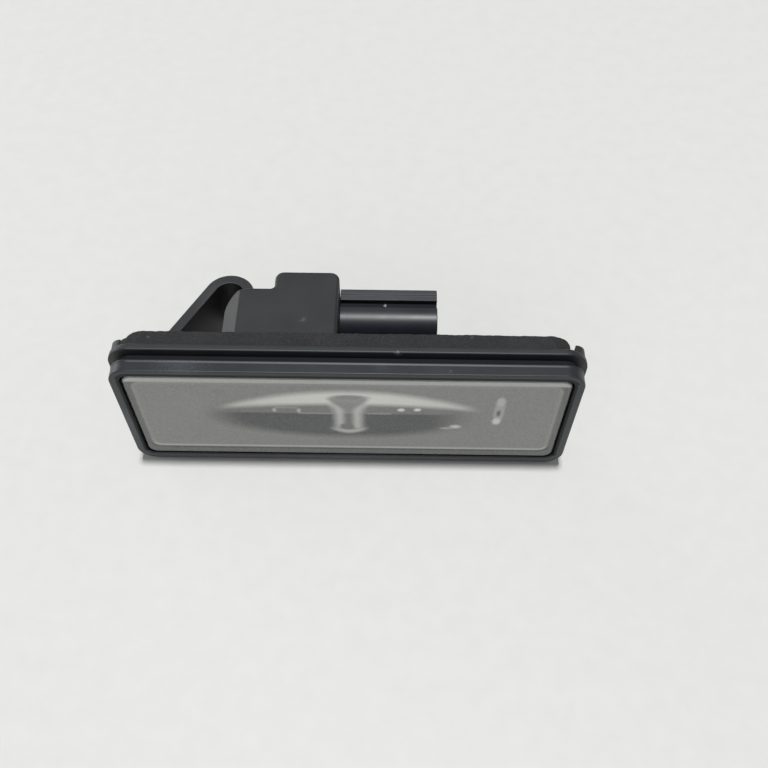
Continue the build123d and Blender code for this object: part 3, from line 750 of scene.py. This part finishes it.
# foam ring: a section carried round the outline, its skin pressed in by a cell-sized unevenness. Its left end
# is drawn out a little. The front part of its left corners is squarer, as the stop rib there presses on it,
# and the rear part stays round.
def makeGasket():
    s = gasketShape
    width, height, corner = s["outer"]
    count = int(4 * (width + height) / s["alongMm"])
    outlines = [(width, height, corner), (width, height, s["pressedCorner"]), s["inner"]]
    outer, squarer, inner = (np.array(outlinePath(*outline, count))[..., None] for outline in outlines)
    outX, outZ, dirX, dirZ = outer
    pressedX, pressedZ = squarer[:2]
    inX, inZ = inner[:2]
    face, side = s["facePoints"], s["sidePoints"]
    rise = np.linspace(s["sideStart"], 1 - s["sideStart"], side)
    across = np.concatenate([np.linspace(0, 1, face), np.ones(side), np.linspace(1, 0, face), np.zeros(side)])
    depth = np.concatenate([np.ones(face), rise[::-1], np.zeros(face), rise])
    atLeft = np.clip(-outX / (s["leftShare"] * width), 0, 1)
    pressed = atLeft * across * (1 - softStep(*s["pressedDepth"], depth))
    x = inX + (outX - inX) * across + (pressedX - outX) * pressed
    z = inZ + (outZ - inZ) * across + (pressedZ - outZ) * pressed
    y = s["frontY"] + (s["rearY"] - s["frontY"]) * np.broadcast_to(depth, x.shape)
    points = np.stack([x, y, z], axis=-1)
    ragged = sum(share * unevenness(points, length, seed) for length, seed, share in s["waves"])
    press = s["raggedMm"] * np.clip(s["raggedMiddle"] + s["raggedSwing"] * ragged, 0, 1)
    outward = 2 * across - 1
    points[..., 0] -= press * outward * dirX + s["leftPullMm"] * np.clip(-x / width, 0, 1)
    points[..., 1] -= press * np.clip(2 * depth - 1, 0, None)
    points[..., 2] -= press * outward * dirZ
    faces = gridFaces(count, len(across), closed=True).tolist()
    piece = makePiece("foamGasket", points.reshape(-1, 3) * mm, faces)
    smoothFaces(piece.data)
    facesOutward(piece)
    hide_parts("gasket")
    return piece


foamFinish = {  # a mark is its middle and radius in millimetres, and its strength
    "wall": "#404041", "cell": "#272728", "cellMm": 0.22, "cellStops": (0.10, 0.55),
    "cellDepthMm": 0.15, "cellBump": 0.9, "roughness": 0.95, "specular": 0.2,
    "shadeMm": 3.5, "shadeRange": (0.75, 1.2),
    "marks": [((-35.4, -1.35, 15.1), 0.5, 1.6), ((22.0, -0.6, 15.1), 0.4, 0.9),
              ((29.5, -1.0, 15.1), 0.4, 0.9)],
}


# EPDM foam, die-cut: open cells on the cut faces, a dull charcoal with no sheen; the cells' middles, which
# the bump sinks into pits, are darker as painted shade in the pits
def dieCutFoam():
    v = foamFinish
    material, tree, output, place = startMaterial("dieCutEpdmFoam")
    cells = addNode(tree, "ShaderNodeTexVoronoi", {"Scale": 1 / (v["cellMm"] * mm), "Randomness": 1.0},
                    {"Vector": place})
    patches = addNode(tree, "ShaderNodeTexNoise", {"Scale": 1 / (v["shadeMm"] * mm), "Detail": 4.0},
                      {"Vector": place})
    ramp = addNode(tree, "ShaderNodeValToRGB", links={"Fac": cells.outputs["Distance"]})
    # painted shade: the darker colour in each cell's pit
    setStops(ramp, zip(v["cellStops"], (v["cell"], v["wall"])))
    darkest, palest = v["shadeRange"]
    shade = addNode(tree, "ShaderNodeMapRange", {"To Min": darkest, "To Max": palest},
                    {"Value": patches.outputs["Fac"]}).outputs["Result"]
    for mark in v["marks"]:
        share = markShare(tree, place, patches.outputs["Fac"], mark)
        shade = addNode(tree, "ShaderNodeMath", {"operation": "ADD"}, {0: shade, 1: share}).outputs["Value"]
    colour = addNode(tree, "ShaderNodeVectorMath", {"operation": "SCALE"},
                     {"Vector": ramp.outputs["Color"], "Scale": shade})
    bump = addNode(tree, "ShaderNodeBump", {"Strength": v["cellBump"], "Distance": v["cellDepthMm"] * mm},
                   {"Height": cells.outputs["Distance"]})
    shader = addNode(tree, "ShaderNodeBsdfPrincipled",
                     {"Roughness": v["roughness"], "Specular IOR Level": v["specular"]},
                     {"Base Color": colour.outputs["Vector"], "Normal": bump.outputs["Normal"]})
    tree.links.new(shader.outputs["BSDF"], output.inputs["Surface"])
    return material


foamGasket = makeGasket()
foamGasket.data.materials.append(dieCutFoam())
print("gasket made:", len(foamGasket.data.polygons), "faces")


innerFinish = {  # material, colour, spot colour, spot size in mm, roughness, metal share, tinned ends in mm
    # lacquer printed on the board and cured: an even grey with a soft sheen
    "circuit_board": ("greySolderMask", "#454746", "#3a3c3b", 2.2, 0.45, 0.0, 0.0),
    # silicone from a nozzle: a dull, slightly cloudy grey
    "lens_bead": ("greySilicone", "#6d6f70", "#595b5c", 1.5, 0.55, 0.0, 0.0),
    # filled resin, moulded: a clean white
    "led_package": ("whitePpaResin", "#e6e5df", "#d6d5cd", 0.8, 0.40, 0.0, 0.0),
    # silicone gel with phosphor powder, cast: a grainy yellow
    "led_phosphor": ("yellowPhosphorSilicone", "#d8b53c", "#c59d2a", 0.3, 0.35, 0.0, 0.0),
    # epoxy, moulded round its leads: matt black between bright ends
    "diode": ("blackEpoxyTinnedLeads", "#303133", "#3a3b3d", 0.6, 0.50, 0.0, 0.7),
    # brass strip, stamped and tin plated: a warm pale metal
    "terminal_upper": ("tinnedBrass", "#b9b2a2", "#a59d8b", 0.9, 0.32, 1.0, 0.0),
    "terminal_lower": ("tinnedBrass", "#b9b2a2", "#a59d8b", 0.9, 0.32, 1.0, 0.0),
    # solder, melted and set: a mottled silver
    "terminal_solder": ("reflowedSolder", "#b4b7b9", "#94989b", 0.5, 0.38, 1.0, 0.0),
    # glaze fired on alumina: smooth black between bright ends
    "resistor_right": ("blackGlazedChipRight", "#2a2a2c", "#38383b", 0.5, 0.45, 0.0, 0.5),
    "resistor_far_right": ("blackGlazedChipFarRight", "#2a2a2c", "#38383b", 0.5, 0.45, 0.0, 0.5),
    "resistor_left": ("blackGlazedChipLeft", "#2a2a2c", "#38383b", 0.5, 0.45, 0.0, 0.5),
    # layered ceramic, fired: matt tan between bright ends
    "capacitor_right": ("tanCeramicChipRight", "#8c7552", "#7c6747", 0.5, 0.50, 0.0, 0.4),
    "capacitor_left": ("tanCeramicChipLeft", "#8c7552", "#7c6747", 0.5, 0.50, 0.0, 0.4),
}
innerShared = {"tin": "#c9cacb", "bump": 0.2, "bumpMm": 0.01}  # tin plating is a soft pale metal


# inner finish: two close tones mixed by a noise of the stated spot size, the same noise as a fine bump, and
# bright tin on the ends of a chip, which lie farther from its middle along X than half its length less an end
def innerMaterial(nodeName, name, colour, spotColour, spotMm, roughness, metal, endMm):
    v = innerShared
    material, tree, output, place = startMaterial(name)
    spots = addNode(tree, "ShaderNodeTexNoise", {"Scale": 1 / (spotMm * mm), "Detail": 3.0},
                    {"Vector": place}).outputs["Fac"]
    mixed = addNode(tree, "ShaderNodeMix",
                    {"data_type": "RGBA", firstColour: linear(colour), secondColour: linear(spotColour)},
                    {mixFactor: spots}).outputs[mixedColour]
    bump = addNode(tree, "ShaderNodeBump", {"Strength": v["bump"], "Distance": v["bumpMm"] * mm},
                   {"Height": spots})
    shader = addNode(tree, "ShaderNodeBsdfPrincipled", {"Roughness": roughness, "Metallic": metal},
                     {"Base Color": mixed, "Normal": bump.outputs["Normal"]})
    if endMm:
        low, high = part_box(nodeName)
        middle, half = (low[0] + high[0]) / 2, (high[0] - low[0]) / 2
        along = addNode(tree, "ShaderNodeSeparateXYZ", links={"Vector": place}).outputs["X"]
        offset = addNode(tree, "ShaderNodeMath", {"operation": "SUBTRACT", 1: middle}, {0: along})
        far = addNode(tree, "ShaderNodeMath", {"operation": "ABSOLUTE"}, {0: offset.outputs["Value"]})
        isEnd = addNode(tree, "ShaderNodeMath", {"operation": "GREATER_THAN", 1: half - endMm * mm},
                        {0: far.outputs["Value"]}).outputs["Value"]
        tinned = addNode(tree, "ShaderNodeMix", {"data_type": "RGBA", secondColour: linear(v["tin"])},
                         {mixFactor: isEnd, firstColour: mixed})
        tree.links.new(tinned.outputs[mixedColour], shader.inputs["Base Color"])
        tree.links.new(isEnd, shader.inputs["Metallic"])
    tree.links.new(shader.outputs["BSDF"], output.inputs["Surface"])
    return material


innerMaterials = {}
for nodeName, finish in innerFinish.items():
    if finish[0] not in innerMaterials:
        innerMaterials[finish[0]] = innerMaterial(nodeName, *finish)
    nodes[nodeName].data.materials.clear()
    nodes[nodeName].data.materials.append(innerMaterials[finish[0]])
print("inner pieces dressed:", len(innerFinish))


stageLook = {  # places and sizes in millimetres
    "floor": "#e8e8e4", "floorMottle": "#e5e5e1", "mottleMm": 4.0, "mottleStops": (0.3, 0.7),
    "floorHalf": 2000, "floorRoughness": 0.6, "floorSpecular": 0.3,
    "world": "#f3f4f6", "worldStrength": 0.19,
    "ceilingStrength": 2.4, "ceilingAngle": 4.0, "ceilingFrom": (0.0, 0.03, 1.0), "ceilingColour": "#fdfeff",
    "windowWatts": 8.0, "windowSize": (2600, 1600), "windowPlace": (-350, -1900, 900),
    "windowColour": "#fbfbff",
    "wallWatts": 7.0, "wallSize": (1200, 500), "wallPlace": (-1180, 920, 90), "wallColour": "#ffffff",
}


# flat floor at the lamp's lowest point, with a faint laminate mottling
def makeFloor(height):
    v = stageLook
    half = v["floorHalf"] * mm
    corners = [(-half, -half, height), (half, -half, height), (half, half, height), (-half, half, height)]
    mesh = bpy.data.meshes.new("tableTop")
    mesh.from_pydata(corners, [], [(0, 1, 2, 3)])
    floor = bpy.data.objects.new("tableTop", mesh)
    bpy.context.scene.collection.objects.link(floor)
    material, tree, output, place = startMaterial("paleLaminate")
    mottle = addNode(tree, "ShaderNodeTexNoise", {"Scale": 1 / (v["mottleMm"] * mm), "Detail": 3.0},
                     {"Vector": place})
    ramp = addNode(tree, "ShaderNodeValToRGB", links={"Fac": mottle.outputs["Fac"]})
    setStops(ramp, zip(v["mottleStops"], (v["floorMottle"], v["floor"])))
    shader = addNode(tree, "ShaderNodeBsdfPrincipled",
                     {"Roughness": v["floorRoughness"], "Specular IOR Level": v["floorSpecular"]},
                     {"Base Color": ramp.outputs["Color"]})
    tree.links.new(shader.outputs["BSDF"], output.inputs["Surface"])
    mesh.materials.append(material)


# one lamp that looks at the object from its place
def addLamp(name, kind, place, strength, colour, settings):
    data = bpy.data.lights.new(name, kind)
    data.energy = strength
    data.color = linear(colour)[:3]
    for setting, value in settings.items():
        setattr(data, setting, value)
    lamp = bpy.data.objects.new(name, data)
    bpy.context.scene.collection.objects.link(lamp)
    lamp.location = Vector(place)
    lamp.rotation_euler = (-lamp.location).to_track_quat("-Z", "Y").to_euler()


# a ceiling lamp almost overhead, which gives the tight shadow and the sheen along the rounds, a wide dim
# window behind the camera, which lights the lens, and a pale wall far to the left
def makeLamps():
    v = stageLook
    addLamp("ceilingLamp", "SUN", v["ceilingFrom"], v["ceilingStrength"], v["ceilingColour"],
            {"angle": radians(v["ceilingAngle"])})
    for name in ("window", "wall"):
        wide, tall = v[name + "Size"]
        place = [part * mm for part in v[name + "Place"]]
        addLamp(name, "AREA", place, v[name + "Watts"], v[name + "Colour"],
                {"shape": "RECTANGLE", "size": wide * mm, "size_y": tall * mm})


# even dim light from all round the room
def makeWorld():
    world = bpy.data.worlds.new("paleRoom")
    bpy.context.scene.world = world
    world.use_nodes = True
    background = world.node_tree.nodes["Background"]
    background.inputs["Color"].default_value = linear(stageLook["world"])
    background.inputs["Strength"].default_value = stageLook["worldStrength"]


cameraView = {
    "placeMm": (6.5, -97.2, 142.7), "elevation": 55.9, "roll": 0.75,  # angles in degrees
    "focalPixels": 900, "framePixels": 768, "sensorMm": 36, "clipStartMm": 5,
}


# camera from its place, elevation and roll: its axes are right, up and back, the first two turned by the roll
def makeCamera():
    v = cameraView
    tilt, roll = radians(v["elevation"]), radians(v["roll"])
    right, up = Vector((1, 0, 0)), Vector((0, sin(tilt), cos(tilt)))
    back = Vector((0, -cos(tilt), sin(tilt)))
    turnedRight = right * cos(roll) + up * sin(roll)
    turnedUp = up * cos(roll) - right * sin(roll)
    data = bpy.data.cameras.new("photoView")
    data.sensor_width = v["sensorMm"]
    data.lens = v["focalPixels"] / v["framePixels"] * data.sensor_width
    data.clip_start = v["clipStartMm"] * mm
    camera = bpy.data.objects.new("photoView", data)
    bpy.context.scene.collection.objects.link(camera)
    turn = Matrix((turnedRight, turnedUp, back)).transposed().to_4x4()
    camera.matrix_world = Matrix.Translation(Vector(v["placeMm"]) * mm) @ turn
    bpy.context.scene.camera = camera


makeFloor(cadBox[0][2])
makeLamps()
makeWorld()
makeCamera()
bpy.context.scene.view_settings.view_transform = "Standard"
print("stage, light and camera set")
